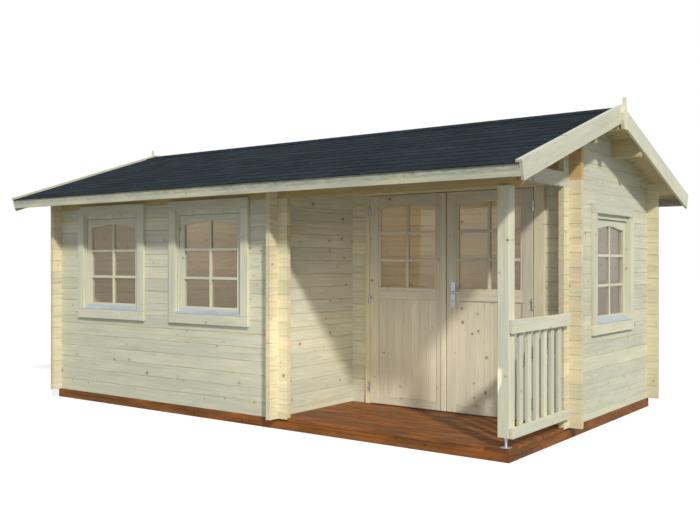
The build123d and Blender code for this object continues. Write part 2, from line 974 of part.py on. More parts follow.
def handle_plates():
    """Long plates on both faces of the opening leaf, each with a keyhole."""
    x, z = handle_place()
    half = handle_plate_width / 2
    high = z + handle_plate_above
    low = high - handle_plate_height
    key = z - keyhole_drop
    depth = 5 * handle_plate_thickness
    plates = []
    for y0 in (door_leaf_y - handle_plate_thickness, door_leaf_y + door_leaf_thickness):
        y1 = y0 + handle_plate_thickness
        middle = (y0 + y1) / 2
        plate = block(x - half, x + half, y0, y1, low, high)
        plate = chamfer(plate.edges().filter_by(Axis.Y), handle_plate_corner)
        bore = Pos(x, middle, z) * Rot(90, 0, 0) * Cylinder(spindle_radius + spindle_clearance, depth)
        hole = Pos(x, middle, key) * Rot(90, 0, 0) * Cylinder(keyhole_radius, depth)
        slot_half = keyhole_slot_width / 2
        slot = block(x - slot_half, x + slot_half, y0 - 1, y1 + 1, key - keyhole_slot_length, key)
        plates.append(plate - [bore, hole, slot])
    return plates


def door_lever():
    """One lever each side on a spindle through the leaf."""
    x, z = handle_place()
    front = door_leaf_y - handle_plate_thickness
    back = door_leaf_y + door_leaf_thickness + handle_plate_thickness
    y0 = front - lever_stand
    y1 = back + lever_stand
    half = lever_thickness / 2
    lever = Pos(x, (y0 + y1) / 2, z) * Rot(90, 0, 0) * Cylinder(spindle_radius, y1 - y0)
    for y in (y0, y1):
        arm = block(x - half, x + lever_length, y - half, y + half, z - half, z + half)
        lever += chamfer(arm.edges(), lever_edge)
    return lever


roof_ends = [(-1, -1), (-1, 1), (1, -1), (1, 1)]
pieces = {
    "foundation_frame": foundation_frame(),
    "room_floor": Compound(children=[room_floor_main(), room_floor_behind_doors()]),
    "veranda_deck": veranda_deck(),
    "front_wall": front_wall(),
    "front_plate_beam": front_plate_beam(),
    "left_gable_wall": left_gable_wall(),
    "back_wall": back_wall(),
    "back_plate_log": back_plate_log(),
    "right_gable_wall": right_gable_wall(),
    "right_plate_log": right_plate_log(),
    "right_gable_peak": right_gable_peak(),
    "recess_side_wall": recess_side_wall(),
    "door_wall_left": door_wall_left(),
    "door_wall_right": door_wall_right(),
    "door_wall_over": door_wall_over(),
    "purlins": Compound(children=purlins()),
    "roof_boards_front": roof_boards(-1),
    "roof_boards_back": roof_boards(1),
    "shingles_front": shingles(-1),
    "shingles_back": shingles(1),
    "ridge_cap": ridge_cap(),
    "fascia_boards": Compound(children=[fascia(-1), fascia(1)]),
    "bargeboards": Compound(children=[bargeboard(s, e) for s, e in roof_ends]),
    "barge_cover_strips": Compound(children=[barge_strip(s, e) for s, e in roof_ends]),
    "finials": Compound(children=[finial(-1), finial(1)]),
    "corner_post": corner_post(),
    "post_foot": post_foot(),
    "railing": railing(),
    "window_casings": each_window(window_casing()),
    "window_frames": each_window(window_frame()),
    "window_sashes": each_window(window_sash()),
    "window_glass": each_window(window_glass()),
    "window_drip_sills": each_window(window_sill()),
    "door_frame": door_frame() - frame_stems(-1) - frame_stems(1),
    "door_casing": door_casing() - frame_stems(-1) - frame_stems(1),
    "door_threshold": door_threshold(),
    "left_door_leaf": left_door_leaf(),
    "left_door_glass": left_leaf_place() * leaf_glass(),
    "right_door_leaf": right_door_leaf(),
    "right_door_glass": right_leaf_place() * leaf_glass(),
    "frame_hinges": Compound(children=frame_hinges()),
    "left_door_hinges": Compound(children=leaf_hinges(-1)),
    "right_door_hinges": Compound(children=leaf_hinges(1)),
    "handle_plates": Compound(children=handle_plates()),
    "door_lever": door_lever(),
}

for name, shape in pieces.items():
    export_step(shape, f"parts/{name}.step")
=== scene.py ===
import bmesh
import bpy
import math
import random
from mathutils import Matrix, Vector


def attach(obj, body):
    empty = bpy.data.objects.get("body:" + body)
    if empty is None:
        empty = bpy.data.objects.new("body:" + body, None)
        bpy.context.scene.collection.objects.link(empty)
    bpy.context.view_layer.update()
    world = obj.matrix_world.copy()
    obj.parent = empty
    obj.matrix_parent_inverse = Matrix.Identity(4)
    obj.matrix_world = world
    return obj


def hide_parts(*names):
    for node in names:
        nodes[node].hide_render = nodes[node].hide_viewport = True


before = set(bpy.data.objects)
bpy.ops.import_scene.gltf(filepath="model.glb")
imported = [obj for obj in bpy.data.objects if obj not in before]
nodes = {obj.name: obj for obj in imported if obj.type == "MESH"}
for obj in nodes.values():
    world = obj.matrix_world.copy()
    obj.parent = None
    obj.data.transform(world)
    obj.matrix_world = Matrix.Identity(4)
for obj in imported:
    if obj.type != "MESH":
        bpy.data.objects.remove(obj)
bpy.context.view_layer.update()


# Foundation frame: bearers under every wall with joists between them, of sawn pine
# treated to a reddish brown. They lie flat on the ground and are butted and screwed.

def add(tree, kind, values, out=0, **settings):
    """Adds one node of a finish, with its values set or joined, and gives its output."""
    step = tree.nodes.new("ShaderNode" + kind)
    for name, value in settings.items():
        setattr(step, name, value)
    for name, value in values.items():
        if isinstance(value, bpy.types.NodeSocket):
            tree.links.new(value, step.inputs[name])
        else:
            step.inputs[name].default_value = value
    return step.outputs[out]


def sums(tree, operation, first, second=0.0, third=0.0):
    return add(tree, "Math", {0: first, 1: second, 2: third}, operation=operation)


def ramp(tree, value, low, high, low_out=0.0, high_out=1.0):
    values = {0: value, 1: low, 2: high, 3: low_out, 4: high_out}
    return add(tree, "MapRange", values, interpolation_type="SMOOTHSTEP")


def tint(tree, share, first, second, way="MIX"):
    return add(tree, "Mix", {0: share, 6: first, 7: second}, out=2, data_type="RGBA", blend_type=way)


def parts_of(tree, vector):
    split = tree.nodes.new("ShaderNodeSeparateXYZ")
    tree.links.new(vector, split.inputs[0])
    return split.outputs[0], split.outputs[1], split.outputs[2]


def vector_of(tree, x=0.0, y=0.0, z=0.0):
    return add(tree, "CombineXYZ", {0: x, 1: y, 2: z})


def place_and_facing(tree):
    """Where a point of a piece lies and which way it faces there, each as x, y and z."""
    spot = tree.nodes.new("ShaderNodeTexCoord")
    return parts_of(tree, spot.outputs["Object"]), parts_of(tree, spot.outputs["Normal"])


def noise(tree, place, scale=1.0, detail=2.0, roughness=0.5):
    return add(tree, "TexNoise", {"Vector": place, "Scale": scale, "Detail": detail, "Roughness": roughness})


def dice(tree, x, y, z):
    """Three chance values that stay the same all over one log or board."""
    return add(tree, "TexWhiteNoise", {"Vector": vector_of(tree, x, y, z)}, out=1, noise_dimensions="3D")


def new_finish(name):
    finish = bpy.data.materials.new(name)
    finish.use_nodes = True
    return finish, finish.node_tree, finish.node_tree.nodes["Principled BSDF"]


def wood(name, look_up, pale, ring, knot, knots=0.5, ring_width=0.0046, streaks=0.55, sheen=0.3,
         spread=0.12, end_tone=0.86, wear_and_shade_tone=(0.86, 0.80, 0.62, 1), mottle=0.08):
    """Sawn softwood: yearly rings about a pith, streaks along the grain, knots, end grain, eased edges."""
    finish, tree, surface = new_finish(name)
    along, across, depth, chance, wear_and_shade, end, *corner = look_up(tree)
    c1, c2, c3 = parts_of(tree, chance)
    far_along = sums(tree, "MULTIPLY_ADD", c1, 31.0, along)
    far_across = sums(tree, "MULTIPLY_ADD", c2, 9.0, across)

    def drawn_out(by_length, by_width, deep=True):
        """A place in the wood, measured more finely across the grain than along it."""
        inward = sums(tree, "MULTIPLY", depth, by_width) if deep else 0.0
        return vector_of(tree, sums(tree, "MULTIPLY", far_along, by_length),
                         sums(tree, "MULTIPLY", far_across, by_width), inward)

    knots_a_metre, least_knot, more_knot = 5.2, 0.0045, 0.014
    cells = tree.nodes.new("ShaderNodeTexVoronoi")
    cells.voronoi_dimensions = "2D"
    tree.links.new(drawn_out(knots_a_metre, knots_a_metre, deep=False), cells.inputs["Vector"])
    cells.inputs["Scale"].default_value = 1.0
    near = sums(tree, "MULTIPLY", cells.outputs["Distance"], 1 / knots_a_metre)
    has, size, dark = parts_of(tree, cells.outputs["Color"])
    radius = sums(tree, "MULTIPLY_ADD", sums(tree, "MULTIPLY", size, size), more_knot, least_knot)
    present = sums(tree, "GREATER_THAN", has, 1 - knots)
    reach = sums(tree, "DIVIDE", near, radius)
    core = sums(tree, "MULTIPLY", ramp(tree, reach, 0.62, 1.2, 1.0, 0.0), present)
    halo = sums(tree, "MULTIPLY", ramp(tree, reach, 0.9, 4.0, 1.0, 0.0), present)
    bend = noise(tree, drawn_out(1.1, 5.0))
    pith_a = sums(tree, "ADD", across, sums(tree, "MULTIPLY_ADD", c3, spread, -spread / 2))
    pith_d = sums(tree, "ADD", depth, sums(tree, "MULTIPLY_ADD", c1, 0.05, 0.012))
    square = sums(tree, "MULTIPLY_ADD", pith_a, pith_a, sums(tree, "MULTIPLY", pith_d, pith_d))
    round_the_pith = sums(tree, "SQRT", square)
    taper = sums(tree, "MULTIPLY_ADD", far_along, 0.008, round_the_pith)
    bent = sums(tree, "ADD", taper, sums(tree, "MULTIPLY", bend, 0.030))
    bent = sums(tree, "ADD", bent, sums(tree, "MULTIPLY", halo, 0.009))
    phase = sums(tree, "FRACT", sums(tree, "DIVIDE", bent, ring_width))
    late = ramp(tree, phase, 0.35, 0.92)
    fade = ramp(tree, phase, 0.92, 1.0, 1.0, 0.0)
    rings = sums(tree, "MULTIPLY", late, fade)
    streak = noise(tree, drawn_out(1.3, 42.0), 1.0, 4.0, 0.6)
    fibre = noise(tree, drawn_out(22.0, 520.0), 1.0, 2.0, 0.6)
    cloud = noise(tree, drawn_out(2.2, 11.0), 1.0, 3.0, 0.55)
    colour = tint(tree, sums(tree, "MULTIPLY", rings, 0.34), pale, ring)
    colour = tint(tree, ramp(tree, streak, 0.45, 0.75, 0.0, streaks), colour, ring)
    grey = tint(tree, ramp(tree, cloud, 0.35, 0.7), (1 - mottle, 1 - 0.8 * mottle, 1 - 0.75 * mottle, 1),
                (1 + 0.6 * mottle, 1 + 0.45 * mottle, 1.0, 1))
    colour = tint(tree, 1.0, colour, grey, "MULTIPLY")
    tone = tint(tree, c2, (0.90, 0.90, 0.90, 1), (1.06, 1.045, 1.01, 1))
    colour = tint(tree, 1.0, colour, tone, "MULTIPLY")
    colour = tint(tree, sums(tree, "MULTIPLY", halo, 0.22), colour, ring)
    heart = sums(tree, "MULTIPLY", core, ramp(tree, dark, 0.0, 1.0, 0.35, 0.85))
    colour = tint(tree, heart, colour, knot)
    if corner:
        yellow = tint(tree, 1.0, colour, (1.15, 1.06, 0.94, 1), "MULTIPLY")
        colour = tint(tree, corner[0], colour, yellow)
    if end is not None:
        early_wood = (end_tone, end_tone, end_tone * 0.96, 1)
        late_wood = (end_tone * 0.74, end_tone * 0.66, end_tone * 0.52, 1)
        cut = tint(tree, sums(tree, "MULTIPLY", rings, 0.5), early_wood, late_wood)
        colour = tint(tree, end, colour, tint(tree, 1.0, colour, cut, "MULTIPLY"))
    # Edge wear, blended in by the wear-and-shade mask; on the fascias the same mask carries painted shade of
    # the shingle edge.
    if wear_and_shade is not None:
        wear_and_shade_patches = noise(tree, drawn_out(14.0, 60.0, deep=False))
        colour = tint(tree, sums(tree, "MULTIPLY", wear_and_shade, ramp(tree, wear_and_shade_patches, 0.3, 0.7, 0.15, 0.7)),
                      colour, tint(tree, 1.0, colour, wear_and_shade_tone, "MULTIPLY"))
    tree.links.new(colour, surface.inputs["Base Color"])
    rough = ramp(tree, sums(tree, "MULTIPLY_ADD", rings, 0.3, fibre), 0.2, 1.1, 0.74, 0.50)
    tree.links.new(rough, surface.inputs["Roughness"])
    surface.inputs["Specular IOR Level"].default_value = sheen
    height = sums(tree, "ADD", sums(tree, "MULTIPLY", rings, 0.35), sums(tree, "MULTIPLY", fibre, 0.5))
    height = sums(tree, "SUBTRACT", height, sums(tree, "MULTIPLY", core, 0.5))
    relief = add(tree, "Bump", {"Strength": 0.5, "Distance": 0.0006, "Height": height})
    tree.links.new(relief, surface.inputs["Normal"])
    return finish


def solid_piece(axis, origin, mirror=(), seed=0.0):
    """Grain directions of a piece that runs along one axis; mirrored axes treat both sides alike."""
    def look_up(tree):
        raw, facing = place_and_facing(tree)
        local = []
        sides = []
        for index, name in enumerate("xyz"):
            value = raw[index]
            sides.append(sums(tree, "SIGN", value) if name in mirror else 0.0)
            value = sums(tree, "ABSOLUTE", value) if name in mirror and name != axis else value
            local.append(sums(tree, "SUBTRACT", value, origin[index]))
        order = {"x": (0, 2, 1), "y": (1, 2, 0), "z": (2, 0, 1)}[axis]
        chance = dice(tree, sums(tree, "ADD", sides[0], seed), sides[1], sides[2])
        end = ramp(tree, sums(tree, "ABSOLUTE", facing[order[0]]), 0.75, 0.9)
        return local[order[0]], local[order[1]], local[order[2]], chance, None, end
    return look_up


bearer_middle = 0.042
bearer_width = 0.070


def bearers(tree):
    """Grain of crossing timbers: each side face runs with its own timber."""
    (x, y, z), facing = place_and_facing(tree)
    turned = sums(tree, "GREATER_THAN", sums(tree, "ABSOLUTE", facing[0]), 0.5)
    swap = tree.nodes.new("ShaderNodeMix")
    swap.data_type = "VECTOR"
    tree.links.new(turned, swap.inputs[0])
    tree.links.new(vector_of(tree, x, y, z), swap.inputs[4])
    tree.links.new(vector_of(tree, y, x, z), swap.inputs[5])
    along, depth, across = parts_of(tree, swap.outputs[1])
    chance = dice(tree, turned, sums(tree, "SIGN", depth), 3.0)
    from_middle = sums(tree, "SUBTRACT", across, bearer_middle)
    return along, from_middle, sums(tree, "MODULO", depth, bearer_width), chance, None, None


def give(name, finish):
    """Puts a finish on a piece of the frame."""
    piece = nodes[name]
    if piece.material_slots:
        for slot in piece.material_slots:
            slot.material = finish
    else:
        piece.data.materials.append(finish)


treated_pale = (0.300, 0.108, 0.026, 1)
treated_dark = (0.075, 0.021, 0.006, 1)
treated_knot = (0.035, 0.012, 0.006, 1)
treated_bearers = wood("treated_bearers", bearers, treated_pale, treated_dark, treated_knot, knots=0.6,
                       streaks=0.8, wear_and_shade_tone=(1.25, 1.2, 1.1, 1), mottle=0.4)
give("foundation_frame", treated_bearers)


# Log walls: planed spruce logs of 44 by 114 mm, laid dry on each other and notched into the
# crossing walls at every corner. Every log has its own tree's rings, knots and tone. The beam along the
# front eave and the logs over the doors are a darker, warmer golden: painted shade and warm bounce light
# under the eave.

log_height = 0.114
log_thick = 0.044
log_overhang = 0.100
wall_foot = 0.085
wall_x, wall_y = 2.544, 1.494
recess_x, door_y = 0.444, -0.444
face_room = 0.0005
wall_pitch = 0.21
beam_foot, side_beam_foot = 1.909, 1.966
spruce_pale = (0.700, 0.705, 0.585, 1)
spruce_ring = (0.535, 0.475, 0.315, 1)
spruce_knot = (0.250, 0.150, 0.075, 1)


def logs(axis, start, first_joint, stubs):
    """Grain of a wall of logs: each course is its own log, yellower in the boxes of the
    corner stubs, where a box gives an axis, where it starts and where it ends."""
    def look_up(tree):
        raw, facing = place_and_facing(tree)
        run, thick = (0, 1) if axis == "x" else (1, 0)
        level = sums(tree, "DIVIDE", sums(tree, "SUBTRACT", raw[2], first_joint), log_height)
        row = sums(tree, "FLOOR", level)
        within = sums(tree, "FRACT", level)
        across = sums(tree, "MULTIPLY_ADD", within, log_height, -log_height / 2)
        from_start = sums(tree, "SUBTRACT", raw[thick], start)
        wall = sums(tree, "FLOOR", sums(tree, "DIVIDE", from_start, wall_pitch))
        depth = sums(tree, "MULTIPLY_ADD", wall, -wall_pitch, from_start)
        chance = dice(tree, row, wall, 1.0)
        to_joint = sums(tree, "MINIMUM", within, sums(tree, "SUBTRACT", 1.0, within))
        wear_and_shade = ramp(tree, to_joint, 0.012, 0.07, 1.0, 0.0)
        end = ramp(tree, sums(tree, "ABSOLUTE", facing[run]), 0.75, 0.9)
        corner = 0.0
        for limits in stubs:
            inside = 1.0
            for index, low, high in limits:
                value = sums(tree, "ABSOLUTE", raw[index]) if high == "both" else raw[index]
                inside = sums(tree, "MULTIPLY", inside, ramp(tree, value, low - 0.004, low + 0.004))
                if high != "both":
                    before = ramp(tree, value, high - 0.004, high + 0.004, 1.0, 0.0)
                    inside = sums(tree, "MULTIPLY", inside, before)
            corner = sums(tree, "MAXIMUM", corner, inside)
        return raw[run], across, depth, chance, wear_and_shade, end, corner
    return look_up


stubs_along_x = [
    ((0, wall_x, "both"),),
    ((0, recess_x, 0.60), (1, -1.6, -1.4), (2, 0.0, beam_foot)),
]
stubs_along_y = [
    ((1, wall_y, "both"),),
    ((0, 2.4, 2.6), (1, -0.60, door_y), (2, 0.0, side_beam_foot)),
]
lengthwise = logs("x", -wall_y - face_room, wall_foot, stubs_along_x)
crosswise = logs("y", -wall_x - face_room, wall_foot + log_height / 2, stubs_along_y)
logs_along_x = wood("spruce_logs_lengthwise", lengthwise, spruce_pale, spruce_ring, spruce_knot,
                    end_tone=0.96)
logs_along_y = wood("spruce_logs_crosswise", crosswise, spruce_pale, spruce_ring, spruce_knot,
                    end_tone=0.96)
# Painted shade: a darker, warmer golden for the eave beam and the logs over the doors, standing in for the
# shade and warm bounce light under the eave.
painted_eave_shade_logs = wood("painted_eave_shade_logs_lengthwise", lengthwise, (0.570, 0.455, 0.240, 1), (0.420, 0.310, 0.150, 1),
                   spruce_knot, end_tone=0.96)
for name in ("front_wall", "back_wall", "back_plate_log", "door_wall_left", "door_wall_right"):
    give(name, logs_along_x)
for name in ("front_plate_beam", "door_wall_over"):
    give(name, painted_eave_shade_logs)
for name in ("left_gable_wall", "right_gable_wall", "right_plate_log", "right_gable_peak",
             "recess_side_wall"):
    give(name, logs_along_y)


# Room floor: tongued floorboards of 96 mm in two fields, nailed to the joists, of the same
# spruce as the walls. Their edges are eased, so each joint shows as a fine line.

chance = random.Random(11)


class Timber:
    """Collects the boards of one piece, each with its own grain and tone."""

    def __init__(self):
        self.points, self.faces, self.grain, self.tone, self.wear_and_shade = [], [], [], [], []

    def board(self, outline, near, far, grain="z", place=None, ease=0.0015, across_thickness=False):
        """A board from its outline in x and z and its thickness in y, with eased edges."""
        work = bmesh.new()
        front = [work.verts.new((x, near, z)) for x, z in outline]
        back = [work.verts.new((x, far, z)) for x, z in outline]
        count = len(outline)
        work.faces.new(front)
        work.faces.new(back[::-1])
        for i in range(count):
            work.faces.new((front[i], back[i], back[(i + 1) % count], front[(i + 1) % count]))
        bmesh.ops.recalc_face_normals(work, faces=work.faces[:])
        sharp = [edge for edge in work.edges if edge.calc_face_angle(0) > 0.5]
        eased = bmesh.ops.bevel(work, geom=sharp, offset=ease, segments=1, affect="EDGES",
                                clamp_overlap=True)
        rounded = set(eased["faces"])
        direction = {"x": (1, 0), "z": (0, 1)}.get(grain, grain)
        own_along = chance.uniform(0, 40)
        own_across = chance.uniform(-0.03, 0.03)
        own_tone = chance.random()
        middle_x = sum(x for x, z in outline) / count
        middle_z = sum(z for x, z in outline) / count
        base = len(self.points)
        work.verts.index_update()
        for vert in work.verts:
            x, y, z = vert.co
            along = x * direction[0] + z * direction[1]
            across = (z - middle_z) * direction[0] - (x - middle_x) * direction[1]
            depth = y - near
            if across_thickness:
                across, depth = y - (near + far) / 2, across
            self.grain.append((along + own_along, across + own_across, depth))
            self.tone.append(own_tone)
            self.points.append(place @ vert.co if place else vert.co.copy())
        for face in work.faces:
            self.faces.append([base + vert.index for vert in face.verts])
            self.wear_and_shade.append(1.0 if face in rounded else 0.0)
        work.free()

    def rectangle(self, x0, x1, z0, z1, near, far, grain="z", place=None, ease=0.0015):
        self.board([(x0, z0), (x1, z0), (x1, z1), (x0, z1)], near, far, grain, place, ease)

    def fix(self, name, finish, body, slot, replaced):
        """Makes the mesh, and fixes it to its body in place of the frame's own piece."""
        mesh = bpy.data.meshes.new(name)
        mesh.from_pydata([tuple(p) for p in self.points], [], self.faces)
        grain = mesh.attributes.new("grain", "FLOAT_VECTOR", "POINT")
        grain.data.foreach_set("vector", [v for g in self.grain for v in g])
        tone = mesh.attributes.new("tone", "FLOAT", "POINT")
        tone.data.foreach_set("value", self.tone)
        wear_and_shade = mesh.attributes.new("wear_and_shade", "FLOAT", "FACE")
        wear_and_shade.data.foreach_set("value", self.wear_and_shade)
        mesh.materials.append(finish)
        mesh.update()
        piece = bpy.data.objects.new(name, mesh)
        bpy.context.scene.collection.objects.link(piece)
        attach(piece, body)
        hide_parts(replaced)


def boards(tree):
    """Grain of separate boards, kept with each board's own mesh."""
    grain = add(tree, "Attribute", {}, out=1, attribute_name="grain")
    tone = add(tree, "Attribute", {}, out=2, attribute_name="tone")
    wear_and_shade = add(tree, "Attribute", {}, out=2, attribute_name="wear_and_shade")
    along, across, depth = parts_of(tree, grain)
    key = sums(tree, "MULTIPLY", tone, 97.0)
    luck = add(tree, "TexWhiteNoise", {"W": key}, out=1, noise_dimensions="1D")
    return along, across, depth, luck, wear_and_shade, None


def end_with_notch(x, z0, z1, notch, step):
    """One end of a board at x, cut back to notch[0] between notch[1] and notch[2]."""
    low, high = max(z0, notch[1]), min(z1, notch[2])
    if high <= low:
        return [(x, z0), (x, z1)][::step]
    corners = [(x, z0)] if low > z0 else []
    corners += [(x, low), (notch[0], low), (notch[0], high), (x, high)]
    corners += [(x, z1)] if high < z1 else []
    if low <= z0:
        corners = corners[1:]
    if high >= z1:
        corners = corners[:-1]
    return corners[::step]


lying = Matrix.Rotation(math.radians(-90), 4, "X")
spruce_boards = wood("spruce_boards", boards, spruce_pale, spruce_ring, spruce_knot, knots=0.55)
floor_top = 0.104
floor_gap = 0.005
floor_joint = 0.001
tongue_gap = 0.0004
inner_x = wall_x - log_thick - floor_gap
inner_y = wall_y - log_thick - floor_gap
recess_inner = recess_x - log_thick
door_inner = door_y + log_thick
behind_doors = -0.379
no_notch = (9, 1, 1)
floor_fields = [
    (-inner_x, recess_inner - floor_gap, -inner_y, inner_y, 30, no_notch,
     (recess_inner - log_overhang - floor_gap, door_y - floor_gap, door_inner + floor_gap)),
    (recess_inner - floor_gap + floor_joint, inner_x, behind_doors, inner_y, 19,
     (recess_x + floor_gap, door_y, door_inner + log_overhang + floor_gap), no_notch),
]
floor = Timber()
for x0, x1, y0, y1, count, left_notch, right_notch in floor_fields:
    width = (y1 - y0) / count
    for i in range(count):
        low, high = y0 + i * width, y0 + (i + 1) * width - tongue_gap
        outline = end_with_notch(x1, low, high, right_notch, 1)
        outline += end_with_notch(x0, low, high, left_notch, -1)
        floor.board(outline, -floor_top, -wall_foot, "x", lying, 0.0012)
floor.fix("floorboards", spruce_boards, "cabin", "floor_wood", "room_floor")


# Veranda deck: nine treated deck boards along the front, 28 mm thick with 5 mm gaps,
# screwed to the bearers and cut round the two log ends that stand on it.

treated_boards = wood("treated_boards", boards, treated_pale, treated_dark, treated_knot, knots=0.55,
                      ring_width=0.006, streaks=0.85, sheen=0.4, wear_and_shade_tone=(1.3, 1.22, 1.1, 1), mottle=0.45)
deck_top, deck_under = 0.099, 0.071
deck_count = 9
deck_gap = 0.005
notch_room = 0.002
notch_thick = log_thick + notch_room
notch_long = log_overhang + notch_room
deck = Timber()
deck_width = (door_y + wall_y - (deck_count - 1) * deck_gap) / deck_count
for i in range(deck_count):
    low = -wall_y + i * (deck_width + deck_gap)
    high = low + deck_width
    right_notch = (wall_x - notch_thick, door_y - notch_long, door_y)
    left_notch = (recess_x + notch_long, -wall_y, -wall_y + notch_thick)
    outline = end_with_notch(wall_x, low, high, right_notch, 1)
    outline += end_with_notch(recess_x, low, high, left_notch, -1)
    deck.board(outline, -deck_top, -deck_under, "x", lying, 0.003)
deck.fix("deck_boards", treated_boards, "cabin", "treated_wood", "veranda_deck")


# Purlins: planed beams along the roof, let into the gables and standing out under the
# overhangs. The plate logs under the eaves belong to the walls.

ridge_beam_middle = 2.52
purlin_spacing = 0.52
purlin_drop = 0.16


def beams(tree):
    """Grain of the three purlins, each with its own tree's rings."""
    (x, y, z), facing = place_and_facing(tree)
    which = sums(tree, "ROUND", sums(tree, "DIVIDE", y, purlin_spacing))
    lower = sums(tree, "MULTIPLY_ADD", sums(tree, "ABSOLUTE", which), purlin_drop, -ridge_beam_middle)
    depth = sums(tree, "MULTIPLY_ADD", which, -purlin_spacing, y)
    end = ramp(tree, sums(tree, "ABSOLUTE", facing[0]), 0.75, 0.9)
    return x, sums(tree, "ADD", z, lower), depth, dice(tree, which, 4.0, 0.0), None, end


golden_pale = (0.650, 0.560, 0.340, 1)
golden_ring = (0.480, 0.370, 0.180, 1)
give("purlins", wood("purlin_wood", beams, golden_pale, golden_ring, spruce_knot))


# Roof boards: 19 mm boards, 89 mm wide, nailed across the purlins from ridge to eave, with
# their eased edges down, so the overhangs show a fine joint at each board.

roof_tilt = math.radians(18.27)
roof_lean = math.tan(roof_tilt)
roof_stretch = 1 / math.cos(roof_tilt)
ridge_under = 2.605
roof_end = 2.794
eave_end = 1.824
roof_board = 0.019
roof_board_count = 63
roof_board_gap = 0.0005
golden_boards = wood("golden_boards", boards, golden_pale, golden_ring, spruce_knot, knots=0.55)


def roof_height(y, lift=0.0):
    """Height of a layer of the roof, its lift measured square to the slope."""
    return ridge_under - roof_lean * abs(y) + lift * roof_stretch


across_roof = Matrix(((0, 1, 0, 0), (1, 0, 0, 0), (0, 0, 1, 0), (0, 0, 0, 1)))
for side, name in ((-1, "front"), (1, "back")):
    slope = Timber()
    width = 2 * roof_end / roof_board_count
    for i in range(roof_board_count):
        x0 = -roof_end + i * width
        outline = [
            (0, roof_height(0)), (side * eave_end, roof_height(eave_end)),
            (side * eave_end, roof_height(eave_end, roof_board)), (0, roof_height(0, roof_board)),
        ]
        run = (side * math.cos(roof_tilt), -math.sin(roof_tilt))
        x1 = x0 + width - roof_board_gap
        slope.board(outline, x0, x1, run, across_roof, 0.0018, across_thickness=True)
    slope.fix("roof_boards_" + name + "_slope", golden_boards, "cabin", "trim_wood", "roof_boards_" + name)


# Shingles: bitumen strips with mineral grit, slate blue-black, nailed in lapped courses from
# the eave up, each strip cut into square tabs, on a thin layer of roofing felt that shows in
# the slots. The ridge is closed with bent cap pieces.

shingle_end = 1.856
shingle_thick = 0.0025
shingle_layer = 0.005
felt_thick = 0.0012
felt_tone = 0.4
shingle_show = 0.142
shingle_lap = 0.028
tab_width = 0.333
tab_slot = 0.004


def grit_finish():
    finish, tree, surface = new_finish("slate_grit")
    tone = add(tree, "Attribute", {}, out=2, attribute_name="tone")
    place = tree.nodes.new("ShaderNodeTexCoord").outputs["Object"]
    grit = noise(tree, place, 420.0, 3.0, 0.7)
    speck = add(tree, "TexVoronoi", {"Vector": place, "Scale": 310.0}, out=1)
    speck_tone = parts_of(tree, speck)[0]
    long = add(tree, "VectorMath", {0: place, 1: (7.0, 34.0, 34.0)}, operation="MULTIPLY")
    streak = noise(tree, long, 1.0, 5.0, 0.65)
    cloud = noise(tree, place, 2.4, 4.0, 0.6)
    colour = tint(tree, ramp(tree, grit, 0.38, 0.68), (0.0045, 0.0085, 0.0125, 1), (0.020, 0.033, 0.045, 1))
    colour = tint(tree, ramp(tree, speck_tone, 0.88, 0.98, 0.0, 0.5), colour, (0.085, 0.115, 0.140, 1))
    colour = tint(tree, ramp(tree, streak, 0.50, 0.70, 0.0, 0.65), colour, (0.004, 0.007, 0.010, 1))
    colour = tint(tree, ramp(tree, streak, 0.44, 0.30, 0.0, 0.5), colour, (0.030, 0.044, 0.058, 1))
    tab_tone = tint(tree, tone, (0.70, 0.72, 0.76, 1), (1.26, 1.24, 1.20, 1))
    patch_tone = tint(tree, ramp(tree, cloud, 0.3, 0.7), (0.80, 0.82, 0.85, 1), (1.14, 1.12, 1.09, 1))
    colour = tint(tree, 1.0, colour, tab_tone, "MULTIPLY")
    colour = tint(tree, 1.0, colour, patch_tone, "MULTIPLY")
    tree.links.new(colour, surface.inputs["Base Color"])
    tree.links.new(ramp(tree, grit, 0.2, 0.8, 0.95, 0.72), surface.inputs["Roughness"])
    surface.inputs["Specular IOR Level"].default_value = 0.06
    relief = add(tree, "Bump", {"Strength": 0.7, "Distance": 0.0012, "Height": grit})
    tree.links.new(relief, surface.inputs["Normal"])
    return finish


grit = grit_finish()


def slab(work, corners_low, corners_high):
    """A flat piece between four lower and four upper corners."""
    low = [work.verts.new(c) for c in corners_low]
    high = [work.verts.new(c) for c in corners_high]
    faces = [work.faces.new(low[::-1]), work.faces.new(high)]
    for i in range(4):
        j = (i + 1) % 4
        faces.append(work.faces.new((low[i], low[j], high[j], high[i])))
    return faces


def fix_shingles(name, work, tones, replaced):
    mesh = bpy.data.meshes.new(name)
    bmesh.ops.recalc_face_normals(work, faces=work.faces[:])
    work.to_mesh(mesh)
    work.free()
    tone = mesh.attributes.new("tone", "FLOAT", "FACE")
    tone.data.foreach_set("value", tones)
    mesh.materials.append(grit)
    piece = bpy.data.objects.new(name, mesh)
    bpy.context.scene.collection.objects.link(piece)
    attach(piece, "cabin")
    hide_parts(replaced)


def quad(side, x0, x1, *corners):
    """Four corners over the roof boards, each from its distance to the ridge and its lift:
    lower left, lower right, upper right and upper left."""
    return [(x, side * y, roof_height(y, roof_board + lift))
            for x, (y, lift) in zip((x0, x1, x1, x0), corners)]


